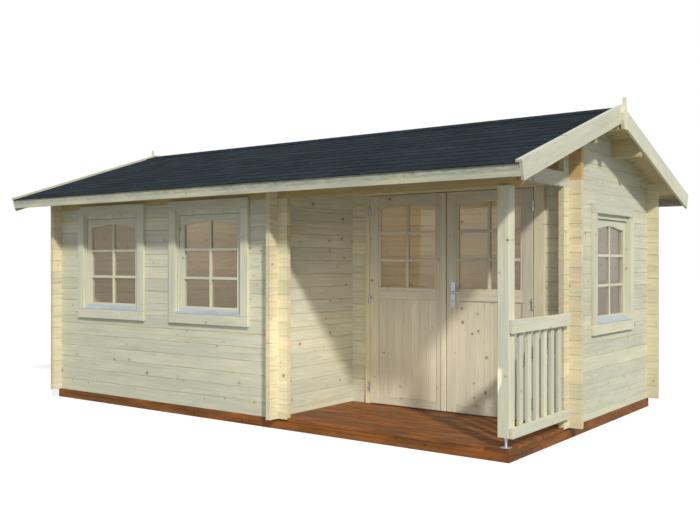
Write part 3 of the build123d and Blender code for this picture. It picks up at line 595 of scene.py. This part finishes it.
level_show = shingle_show * math.cos(roof_tilt)
for side, name in ((-1, "front"), (1, "back")):
    work = bmesh.new()
    felt = []
    for lift in (0.0, felt_thick):
        eave, ridge = (shingle_end, lift), (0.0, lift)
        felt.append(quad(side, -roof_end, roof_end, eave, eave, ridge, ridge))
    tones = [felt_tone] * len(slab(work, felt[0], felt[1]))
    lower = shingle_end
    course = 0
    while lower > 0.03:
        upper = max(lower - level_show - shingle_lap, 0.0)
        foot = 0.0 if course == 0 else shingle_layer - shingle_thick
        x = -roof_end - (course % 2) * tab_width / 2
        while x < roof_end:
            x0 = max(x + tab_slot / 2, -roof_end)
            x1 = min(x + tab_width - tab_slot / 2, roof_end)
            if x1 - x0 > 0.01:
                droop = 0.0015 * chance.random() if course else 0.0
                end = lower - droop
                low = quad(side, x0, x1, (end, foot), (end, foot), (upper, 0), (upper, 0))
                high = quad(side, x0, x1, (end, shingle_layer), (end, shingle_layer),
                            (upper, shingle_thick), (upper, shingle_thick))
                tones += [chance.random()] * len(slab(work, low, high))
            x += tab_width
        lower -= level_show
        course += 1
    fix_shingles("shingle_courses_" + name, work, tones, "shingles_" + name)

cap_reach = 0.150
cap_length = 0.300
cap_show = 0.1443
cap_layer = 0.004
cap_thick = 0.002
cap_end = 2.769
work = bmesh.new()
tones = []
x = -cap_end
while x < cap_end - 0.02:
    x1 = min(x + cap_length, cap_end)
    tone = chance.random()
    for side in (-1, 1):
        faces = []
        for lift in (0, cap_thick):
            tail = shingle_layer + lift
            nose = tail + cap_layer - cap_thick
            faces.append(quad(side, x, x1, (cap_reach, nose), (cap_reach, tail), (0, tail), (0, nose)))
        tones += [tone] * len(slab(work, faces[0], faces[1]))
    x += cap_show
fix_shingles("ridge_cap_pieces", work, tones, "ridge_cap")


# Edge boards: fascias under the shingle edge, bargeboards down both gables with a cover
# strip on top, and a spear-pointed board over each ridge joint, all planed and nailed.

fascia_middle = 1.973
fascia_face = 1.844
barge_face = 2.814
barge_middle = 2.44


def down_the_slope(tree):
    """Grain of boards that run with the roof's slope, alike at all four ends."""
    x, y, z = place_and_facing(tree)[0]
    level = sums(tree, "ABSOLUTE", y)
    run = sums(tree, "ADD", sums(tree, "MULTIPLY", level, math.cos(roof_tilt)),
               sums(tree, "MULTIPLY", z, -math.sin(roof_tilt)))
    across = sums(tree, "ADD", sums(tree, "MULTIPLY", level, math.sin(roof_tilt)),
                  sums(tree, "MULTIPLY", z, math.cos(roof_tilt)))
    depth = sums(tree, "SUBTRACT", sums(tree, "ABSOLUTE", x), roof_end)
    luck = dice(tree, sums(tree, "SIGN", x), sums(tree, "SIGN", y), 6.0)
    return run, sums(tree, "SUBTRACT", across, barge_middle), depth, luck, None, None


def along_the_eave(tree):
    """Grain of the fascias, with painted shade of the shingle edge: greyer and darker in the upper half."""
    grain = solid_piece("x", (0, eave_end, fascia_middle), "y", 7.0)(tree)
    painted_shade = ramp(tree, place_and_facing(tree)[0][2], fascia_middle - 0.017, fascia_middle + 0.001)
    return grain[:4] + (painted_shade, grain[5])


planed_pale = (0.715, 0.725, 0.600, 1)
planed_ring = (0.580, 0.530, 0.370, 1)
# The fascia's wear-and-shade tone is painted shade: a darker grey over the upper half, standing in for the
# shingle edge's shadow.
fascia_wood = wood("fascia_wood", along_the_eave, (0.600, 0.610, 0.500, 1), (0.480, 0.440, 0.310, 1),
                   spruce_knot, knots=0.8, wear_and_shade_tone=(0.50, 0.54, 0.56, 1), mottle=0.16)
barge_wood = wood("barge_wood", down_the_slope, planed_pale, planed_ring, spruce_knot, knots=0.6)
finial_wood = wood("finial_wood", solid_piece("z", (barge_face, 0, 2.45), "x", 8.0), planed_pale,
                   planed_ring, spruce_knot, knots=0.2)
give("fascia_boards", fascia_wood)
give("bargeboards", barge_wood)
give("barge_cover_strips", barge_wood)
give("finials", finial_wood)


def metal(name, colour, dark, rough, brushed=(40, 40, 40), marks=0.5):
    """Bare or plated metal with fine marks and uneven polish."""
    finish, tree, surface = new_finish(name)
    place = tree.nodes.new("ShaderNodeTexCoord").outputs["Object"]
    lines = add(tree, "VectorMath", {0: place, 1: brushed}, operation="MULTIPLY")
    grain = noise(tree, lines, 12.0, 3.0, 0.6)
    cloud = noise(tree, place, 38.0, 3.0)
    marked = tint(tree, ramp(tree, cloud, 0.35, 0.75, 0.0, marks), colour, dark)
    tree.links.new(marked, surface.inputs["Base Color"])
    tree.links.new(ramp(tree, grain, 0.25, 0.75, rough - 0.08, rough + 0.1), surface.inputs["Roughness"])
    surface.inputs["Metallic"].default_value = 1.0
    relief = add(tree, "Bump", {"Strength": 0.25, "Distance": 0.0003, "Height": grain})
    tree.links.new(relief, surface.inputs["Normal"])
    return finish


zinc = metal("zinc_plated_steel", (0.60, 0.62, 0.64, 1), (0.38, 0.40, 0.42, 1), 0.32)


def nail_heads(name, places, body="cabin", size=0.0033):
    """Round nail heads, each pressed just into the wood, from a point and the way it faces."""
    work = bmesh.new()
    for place, facing in places:
        turn = Vector(facing).to_track_quat("Z", "Y").to_matrix().to_4x4()
        spot = Matrix.Translation(Vector(place)) @ turn
        rings = []
        for radius, height in ((size, -0.0004), (size, 0.0004), (size * 0.72, 0.0008)):
            rings.append([])
            for k in range(12):
                angle = 2 * math.pi * k / 12
                point = spot @ Vector((radius * math.cos(angle), radius * math.sin(angle), height))
                rings[-1].append(work.verts.new(point))
        for inner, outer in zip(rings[1:], rings[:-1]):
            for k in range(12):
                work.faces.new((outer[k], outer[(k + 1) % 12], inner[(k + 1) % 12], inner[k]))
        work.faces.new(rings[-1])
    mesh = bpy.data.meshes.new(name)
    work.to_mesh(mesh)
    work.free()
    mesh.materials.append(zinc)
    piece = bpy.data.objects.new(name, mesh)
    bpy.context.scene.collection.objects.link(piece)
    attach(piece, body)


heads = []
for side in (-1, 1):
    for i in range(13):
        x = -2.70 + i * 0.45
        for level in (fascia_middle - 0.021, fascia_middle + 0.023):
            heads.append(((x, side * fascia_face, level), (0, side, 0)))
    for end in (-1, 1):
        for y in (0.12, 0.52, 1.0, 1.47, 1.79):
            for lift in (-0.075, -0.010):
                heads.append(((end * barge_face, side * y, roof_height(y, lift)), (end, 0, 0)))
nail_heads("edge_board_nails", heads)


# Corner post, its steel foot and the railing: a planed post with eased corners on an
# adjustable zinc-plated foot, two rails nailed outside it and six narrow boards behind them.

post_wood = wood("post_wood", solid_piece("z", (2.512, -1.472, 1.0), seed=9.0), planed_pale, planed_ring,
                 spruce_knot, knots=0.75, spread=0.03)
give("corner_post", post_wood)


def threaded_steel():
    finish, tree, surface = new_finish("threaded_steel")
    place = tree.nodes.new("ShaderNodeTexCoord").outputs["Object"]
    half_turn = 0.00125
    thread = ramp(tree, sums(tree, "PINGPONG", parts_of(tree, place)[2], half_turn), 0.0, half_turn)
    cloud = noise(tree, place, 60.0, 3.0)
    colour = tint(tree, ramp(tree, cloud, 0.35, 0.7), (0.66, 0.68, 0.70, 1), (0.44, 0.46, 0.49, 1))
    tree.links.new(colour, surface.inputs["Base Color"])
    tree.links.new(ramp(tree, cloud, 0.3, 0.7, 0.22, 0.40), surface.inputs["Roughness"])
    surface.inputs["Metallic"].default_value = 1.0
    relief = add(tree, "Bump", {"Strength": 0.35, "Distance": 0.001, "Height": thread})
    tree.links.new(relief, surface.inputs["Normal"])
    return finish


give("post_foot", threaded_steel())

rail_face, rail_back, rail_start, rail_end = 2.557, 2.585, -1.517, -0.509
top_rail = (0.891, 0.987)
low_rail = (0.171, 0.246)
upright_count = 6
upright_width = 0.058
upright_inner = 2.532
upright_start, upright_end = -1.427, -0.544
upright_foot = low_rail[0] + 0.020
upright_top = top_rail[1] - 0.012
sideways = Matrix.Rotation(math.radians(90), 4, "Z")
railing_wood = wood("railing_wood", boards, planed_pale, planed_ring, spruce_knot, knots=0.5)
rails = Timber()
for low, high in (top_rail, low_rail):
    rails.rectangle(rail_start, rail_end, low, high, -rail_back, -rail_face, "x", sideways, 0.003)
    rails.rectangle(upright_end, rail_end, low, high, -rail_face, -wall_x, "x", sideways, 0.001)
upright_gap = (upright_end - upright_start - upright_count * upright_width) / (upright_count + 1)
heads = []
for i in range(upright_count):
    y0 = upright_start + upright_gap + i * (upright_width + upright_gap)
    y1 = y0 + upright_width
    rails.rectangle(y0, y1, upright_foot, upright_top, -rail_face, -upright_inner, "z", sideways, 0.002)
    for z in (upright_foot + 0.017, upright_top - 0.040):
        for y in (y0 + 0.015, y1 - 0.015):
            heads.append(((upright_inner, y, z), (-1, 0, 0)))
rails.fix("railing_boards", railing_wood, "cabin", "trim_wood", "railing")
for low, high in (top_rail, low_rail):
    for y in (rail_start + 0.017, rail_start + 0.067, rail_end - 0.018):
        for z in (low + 0.02, high - 0.02):
            heads.append(((rail_back, y, z), (1, 0, 0)))
nail_heads("railing_nails", heads)


# Windows: three alike, each a jointed sash with a swept head, two by three panes and bars on
# both faces of the glass, in a frame covered by flat casing boards, with a metal drip at the foot.

window_places = [
    Matrix.Translation((-1.701, -wall_y, wall_foot)),
    Matrix.Translation((-0.366, -wall_y, wall_foot)),
    Matrix.Translation((wall_x, 0.506, wall_foot - log_height / 2)) @ sideways,
]
casing_half, casing_low, casing_high = 0.4925, 0.745, 1.850
casing_width, casing_thick = 0.088, 0.028
sash_half, sash_low, sash_high = 0.3885, 0.844, 1.719
sash_front, sash_back = 0.015, 0.055
stile, foot_rail, head_rail, sweep_rise = 0.058, 0.055, 0.082, 0.027
bar_width, bar_deep, half_pane = 0.025, 0.014, 0.002


def sweep(half, level, rise, steps=24):
    """Points of a swept head from right to left, level at its ends and its middle."""
    points = []
    for i in range(steps + 1):
        x = half - 2 * half * i / steps
        t = 1 - abs(x) / half
        points.append((x, level + rise * t * t * (3 - 2 * t)))
    return points


def bars(timber, middle, half, low, high, near, far, place):
    """One upright bar and two level ones, joined in one face of the glass."""
    w = bar_width / 2
    timber.rectangle(middle - w, middle + w, low, high, near, far, "z", place, 0.003)
    pane = (high - low) / 3
    for row in (1, 2):
        level = low + row * pane
        timber.rectangle(middle - half, middle - w, level - w, level + w, near, far, "x", place, 0.003)
        timber.rectangle(middle + w, middle + half, level - w, level + w, near, far, "x", place, 0.003)


casings, sashes, heads = Timber(), Timber(), []
for place in window_places:
    h, w = casing_half, casing_width
    casings.rectangle(-h, h, casing_high - w, casing_high, -casing_thick, 0, "x", place, 0.003)
    casings.rectangle(-h, h, casing_low, casing_low + w, -casing_thick, 0, "x", place, 0.003)
    casings.rectangle(-h, -h + w, casing_low + w, casing_high - w, -casing_thick, 0, "z", place, 0.003)
    casings.rectangle(h - w, h, casing_low + w, casing_high - w, -casing_thick, 0, "z", place, 0.003)
    h = sash_half
    inner = h - stile
    shoulder = sash_high - head_rail
    sashes.rectangle(-h, -inner, sash_low, sash_high, sash_front, sash_back, "z", place, 0.002)
    sashes.rectangle(inner, h, sash_low, sash_high, sash_front, sash_back, "z", place, 0.002)
    sashes.rectangle(-inner, inner, sash_low, sash_low + foot_rail, sash_front, sash_back, "x", place, 0.002)
    head = sweep(inner, shoulder, sweep_rise) + [(-inner, sash_high), (inner, sash_high)]
    sashes.board(head, sash_front, sash_back, "x", place, 0.002)
    middle = (sash_front + sash_back) / 2
    for side in (-1, 1):
        face = middle + side * (half_pane + bar_deep / 2)
        bars(sashes, 0, inner, sash_low + foot_rail, shoulder + sweep_rise, face - bar_deep / 2,
             face + bar_deep / 2, place)
    facing = place.to_3x3() @ Vector((0, -1, 0))
    for x in (-0.45, 0.45):
        for z in (0.77, 0.81, 1.785, 1.825):
            heads.append((place @ Vector((x, -casing_thick, z)), facing))
casings.fix("window_casing_boards", railing_wood, "cabin", "trim_wood", "window_casings")
sashes.fix("window_sash_joinery", railing_wood, "cabin", "door_wood", "window_sashes")
nail_heads("window_casing_nails", heads)

frame_wood = wood("window_frame_wood", solid_piece("z", (0, 0, 1.2), seed=12.0), planed_pale, planed_ring,
                  spruce_knot)
give("window_frames", frame_wood)


def drip_finish():
    finish, tree, surface = new_finish("drip_sheet")
    place = tree.nodes.new("ShaderNodeTexCoord").outputs["Object"]
    cloud = noise(tree, place, 9.0, 4.0)
    dust = noise(tree, place, 160.0)
    colour = tint(tree, ramp(tree, cloud, 0.3, 0.7), (0.50, 0.57, 0.64, 1), (0.60, 0.65, 0.70, 1))
    colour = tint(tree, ramp(tree, dust, 0.62, 0.8, 0.0, 0.35), colour, (0.50, 0.50, 0.48, 1))
    tree.links.new(colour, surface.inputs["Base Color"])
    tree.links.new(ramp(tree, dust, 0.3, 0.8, 0.30, 0.46), surface.inputs["Roughness"])
    surface.inputs["Metallic"].default_value = 0.35
    return finish


give("window_drip_sills", drip_finish())


def pane_finish():
    """Float glass that lets light through and shows soft reflections, with a painted pale brown tint."""
    finish, tree, surface = new_finish("window_pane")
    place = tree.nodes.new("ShaderNodeTexCoord").outputs["Object"]
    ripple = noise(tree, place, 3.0, 1.0)
    smear = noise(tree, place, 26.0, 4.0)
    # Partly painted light: the pale brown tint colours the room seen through the glass. It also adds a faint
    # brown film that stands in for the warm interior and reflections seen in the panes. The smears are real.
    tone = tint(tree, ramp(tree, smear, 0.4, 0.8, 0.0, 0.5), (0.84, 0.74, 0.65, 1), (0.80, 0.74, 0.66, 1))
    tree.links.new(tone, surface.inputs["Base Color"])
    tree.links.new(ramp(tree, smear, 0.3, 0.8, 0.0, 0.03), surface.inputs["Roughness"])
    surface.inputs["Transmission Weight"].default_value = 0.96
    surface.inputs["IOR"].default_value = 1.45
    relief = add(tree, "Bump", {"Strength": 0.008, "Distance": 0.01, "Height": ripple})
    tree.links.new(relief, surface.inputs["Normal"])
    path = tree.nodes.new("ShaderNodeLightPath")
    clear = tree.nodes.new("ShaderNodeBsdfTransparent")
    clear.inputs["Color"].default_value = (0.93, 0.93, 0.91, 1)
    lighting = sums(tree, "MAXIMUM", path.outputs["Is Shadow Ray"], path.outputs["Is Diffuse Ray"])
    either = tree.nodes.new("ShaderNodeMixShader")
    tree.links.new(lighting, either.inputs[0])
    tree.links.new(surface.outputs[0], either.inputs[1])
    tree.links.new(clear.outputs[0], either.inputs[2])
    tree.links.new(either.outputs[0], tree.nodes["Material Output"].inputs["Surface"])
    return finish


window_pane = pane_finish()
for name in ("window_glass", "left_door_glass", "right_door_glass"):
    give(name, window_pane)


# Doorway: a frame of jambs and head with a stop behind the leaves, a low oak-coloured
# threshold, and flat casing boards that cover the joint with the logs, the left one narrow.

door_left, door_right, door_head = 0.6535, 2.2585, 1.983
door_middle = (door_left + door_right) / 2
frame_middle = -0.42
jamb_wood = wood("door_frame_wood", solid_piece("z", (door_middle, frame_middle, 1.0), seed=13.0),
                 planed_pale, planed_ring, spruce_knot)
sill_wood = wood("threshold_wood", solid_piece("x", (door_middle, frame_middle, 0.10), seed=14.0),
                 (0.52, 0.40, 0.24, 1), (0.36, 0.25, 0.13, 1), spruce_knot)
give("door_frame", jamb_wood)
give("door_threshold", sill_wood)

cover_front = door_y - casing_thick
cover_wide, cover_narrow = 0.090, 0.045
cover_left, cover_right = door_left - cover_narrow, door_right + cover_wide
nail_lines = (0.631, 2.303)
# The casing boards are warmer and brighter than the other planed boards. This is partly their own tone and
# partly painted light: warm bounce light from the sunlit deck and walls under the eave.
cover_wood = wood("door_casing_wood", boards, (0.860, 0.800, 0.590, 1), (0.660, 0.550, 0.360, 1),
                  spruce_knot, knots=0.5)
cover = Timber()
for x0, x1, z0, z1, grain in (
        (cover_left, door_left, deck_top, door_head, "z"),
        (door_right, cover_right, deck_top, door_head, "z"),
        (cover_left, cover_right, door_head, door_head + cover_wide, "x")):
    cover.rectangle(x0, x1, z0, z1, cover_front, door_y, grain, None, 0.003)
cover.fix("door_casing_boards", cover_wood, "cabin", "trim_wood", "door_casing")
heads = []
for x in nail_lines:
    for z in (0.18, 0.62, 1.06, 1.50, 1.92):
        heads.append(((x, cover_front, z), (0, -1, 0)))
nail_heads("door_casing_nails", heads)


# Door leaves: stiles and rails jointed round a lower field of upright tongued boards and an
# upper field of glass under a swept head, with bars on both faces. The left leaf stands and
# carries the strip that covers the meeting joint.

leaf_width, leaf_high, leaf_thick = 0.794, 1.871, 0.040
leaf_stile, leaf_bottom_rail, panel_top, glass_foot = 0.095, 0.072, 0.946, 1.050
glass_shoulder, glass_half = 1.751, 0.284
panel_front, panel_back = 0.008, 0.028
panel_boards = 7
leaf_foot = 0.107
side_gap = 0.005
leaf_place_left = Matrix.Translation((door_left + side_gap, cover_front, leaf_foot))
leaf_place_right = Matrix.Translation((door_right - side_gap - leaf_width, cover_front, leaf_foot))
strip_width, strip_thick = 0.045, 0.010
door_wood = wood("door_wood", boards, (0.735, 0.700, 0.590, 1), (0.590, 0.490, 0.345, 1),
                 (0.225, 0.125, 0.065, 1), knots=0.65)


def door_leaf(place, strip):
    leaf = Timber()
    inner_left, inner_right = leaf_stile, leaf_width - leaf_stile
    middle = leaf_width / 2
    leaf.rectangle(0, inner_left, 0, leaf_high, 0, leaf_thick, "z", place, 0.002)
    leaf.rectangle(inner_right, leaf_width, 0, leaf_high, 0, leaf_thick, "z", place, 0.002)
    leaf.rectangle(inner_left, inner_right, 0, leaf_bottom_rail, 0, leaf_thick, "x", place, 0.002)
    leaf.rectangle(inner_left, inner_right, panel_top, glass_foot, 0, leaf_thick, "x", place, 0.002)
    arch = [(middle + x, z) for x, z in sweep(glass_half, glass_shoulder, sweep_rise)]
    head = [(inner_right, glass_shoulder)] + arch
    head += [(inner_left, glass_shoulder), (inner_left, leaf_high), (inner_right, leaf_high)]
    leaf.board(head, 0, leaf_thick, "x", place, 0.002)
    for x0, x1 in ((inner_left, middle - glass_half), (middle + glass_half, inner_right)):
        leaf.rectangle(x0, x1, glass_foot, glass_shoulder, 0.002, leaf_thick - 0.002, "z", place, 0.004)
    width = (inner_right - inner_left) / panel_boards
    for i in range(panel_boards):
        x0 = inner_left + i * width
        x1 = x0 + width - tongue_gap
        leaf.rectangle(x0, x1, leaf_bottom_rail, panel_top, panel_front, panel_back, "z", place, 0.0032)
    for side in (-1, 1):
        face = leaf_thick / 2 + side * (half_pane + bar_deep / 2)
        bars(leaf, middle, glass_half, glass_foot, glass_shoulder + sweep_rise, face - bar_deep / 2,
             face + bar_deep / 2, place)
    if strip:
        x0 = leaf_width - strip_width
        leaf.rectangle(x0, leaf_width, 0, leaf_high, -strip_thick, 0, "z", place, 0.003)
    return leaf


left_leaf = door_leaf(leaf_place_left, True)
left_leaf.fix("left_leaf_joinery", door_wood, "left_door", "door_wood", "left_door_leaf")
right_leaf = door_leaf(leaf_place_right, False)
right_leaf.fix("right_leaf_joinery", door_wood, "right_door", "door_wood", "right_door_leaf")


# Door fittings: zinc-plated lift-off hinges screwed into leaf and frame, long steel handle
# plates with a keyhole, and a lever on each side of one spindle.

give("frame_hinges", zinc)
give("left_door_hinges", zinc)
give("right_door_hinges", zinc)
satin = metal("satin_steel", (0.50, 0.55, 0.60, 1), (0.38, 0.42, 0.47, 1), 0.30, (8, 8, 160), 0.3)
give("handle_plates", satin)
give("door_lever", satin)
plate_middle, plate_thick = 1.5245, 0.008
outer_face, inner_face = cover_front - plate_thick, cover_front + leaf_thick + plate_thick
heads = []
for face, way in ((outer_face, -1), (inner_face, 1)):
    for z in (1.008, 1.204):
        heads.append(((plate_middle, face, z), (0, way, 0)))
nail_heads("handle_plate_screws", heads, "right_door", 0.0042)


# Studio: a wide pale floor, a soft high lamp from the front right, an even surround, a weak
# warm lamp low before the veranda and one inside the room, and the camera at eye height off
# the right front corner.

floor_mesh = bpy.data.meshes.new("studio_floor")
reach, below = 60.0, -0.001
floor_mesh.from_pydata([(-reach, -reach, below), (reach, -reach, below), (reach, reach, below),
                        (-reach, reach, below)], [], [(0, 1, 2, 3)])
studio_floor = bpy.data.objects.new("studio_floor", floor_mesh)
bpy.context.scene.collection.objects.link(studio_floor)
floor_finish, tree, surface = new_finish("studio_floor")
patches = noise(tree, tree.nodes.new("ShaderNodeTexCoord").outputs["Object"], 0.7)
pale_floor = tint(tree, patches, (0.36, 0.36, 0.36, 1), (0.38, 0.38, 0.38, 1))
tree.links.new(pale_floor, surface.inputs["Base Color"])
surface.inputs["Roughness"].default_value = 0.9
surface.inputs["Specular IOR Level"].default_value = 0.0
glow = tree.nodes.new("ShaderNodeEmission")
glow.inputs["Color"].default_value = (1, 1, 1, 1)
path = tree.nodes.new("ShaderNodeLightPath")
seen = sums(tree, "MAXIMUM", path.outputs["Is Camera Ray"], path.outputs["Is Transmission Ray"])
mirrored = sums(tree, "MULTIPLY", path.outputs["Is Glossy Ray"], 0.25)
tree.links.new(sums(tree, "MAXIMUM", sums(tree, "MULTIPLY", seen, 0.74), mirrored), glow.inputs["Strength"])
both = tree.nodes.new("ShaderNodeAddShader")
tree.links.new(surface.outputs[0], both.inputs[0])
tree.links.new(glow.outputs[0], both.inputs[1])
tree.links.new(both.outputs[0], tree.nodes["Material Output"].inputs["Surface"])
floor_mesh.materials.append(floor_finish)

surround = bpy.data.worlds.new("surround")
bpy.context.scene.world = surround
surround.use_nodes = True
tree = surround.node_tree
tree.nodes.clear()
soft = tree.nodes.new("ShaderNodeBackground")
soft.inputs["Color"].default_value = (0.92, 1.0, 1.06, 1)
soft.inputs["Strength"].default_value = 0.47
white = tree.nodes.new("ShaderNodeBackground")
white.inputs["Color"].default_value = (1, 1, 1, 1)
white.inputs["Strength"].default_value = 1.0
path = tree.nodes.new("ShaderNodeLightPath")
seen = sums(tree, "MAXIMUM", path.outputs["Is Camera Ray"], path.outputs["Is Transmission Ray"])
choose = tree.nodes.new("ShaderNodeMixShader")
tree.links.new(sums(tree, "MAXIMUM", seen, path.outputs["Is Glossy Ray"]), choose.inputs[0])
tree.links.new(soft.outputs[0], choose.inputs[1])
tree.links.new(white.outputs[0], choose.inputs[2])
out = tree.nodes.new("ShaderNodeOutputWorld")
tree.links.new(choose.outputs[0], out.inputs["Surface"])

lamp = bpy.data.lights.new("soft_lamp", "SUN")
lamp.energy = 2.7
lamp.angle = math.radians(4)
lamp.color = (1.0, 0.96, 0.88)
lamp_place = bpy.data.objects.new("soft_lamp", lamp)
lamp_place.rotation_euler = Vector((-1.35, 1.0, -1.2)).to_track_quat("-Z", "Y").to_euler()
bpy.context.scene.collection.objects.link(lamp_place)


def area_lamp(name, long, wide, power, tone, place, toward, spread=180):
    """A flat lamp that lights the wood, but is neither seen nor mirrored itself."""
    light = bpy.data.lights.new(name, "AREA")
    light.shape = "RECTANGLE"
    light.size = long
    light.size_y = wide
    light.spread = math.radians(spread)
    light.energy = power
    light.color = tone
    stand = bpy.data.objects.new(name, light)
    stand.location = place
    stand.rotation_euler = Vector(toward).to_track_quat("-Z", "Y").to_euler()
    stand.visible_camera = False
    stand.visible_glossy = False
    stand.visible_transmission = False
    bpy.context.scene.collection.objects.link(stand)


area_lamp("veranda_fill", 1.9, 0.6, 3.0, (1.0, 0.90, 0.78), (1.75, -2.10, 0.35), (-0.95, 1.1, 0.35), 70)
area_lamp("room_lamp", 3.8, 1.0, 19.0, (1.0, 0.86, 0.74), (-0.3, 0.45, 2.25), (0, 0, -1))

camera = bpy.data.cameras.new("camera")
camera.sensor_width = 36.0
camera.lens = 45.05
camera.clip_end = 200.0
camera_place = bpy.data.objects.new("camera", camera)
camera_place.location = (5.242, -6.976, 1.379)
camera_place.rotation_euler = (math.radians(90), 0, math.radians(36.48))
bpy.context.scene.collection.objects.link(camera_place)
bpy.context.scene.camera = camera_place
bpy.context.scene.view_settings.view_transform = "Standard"
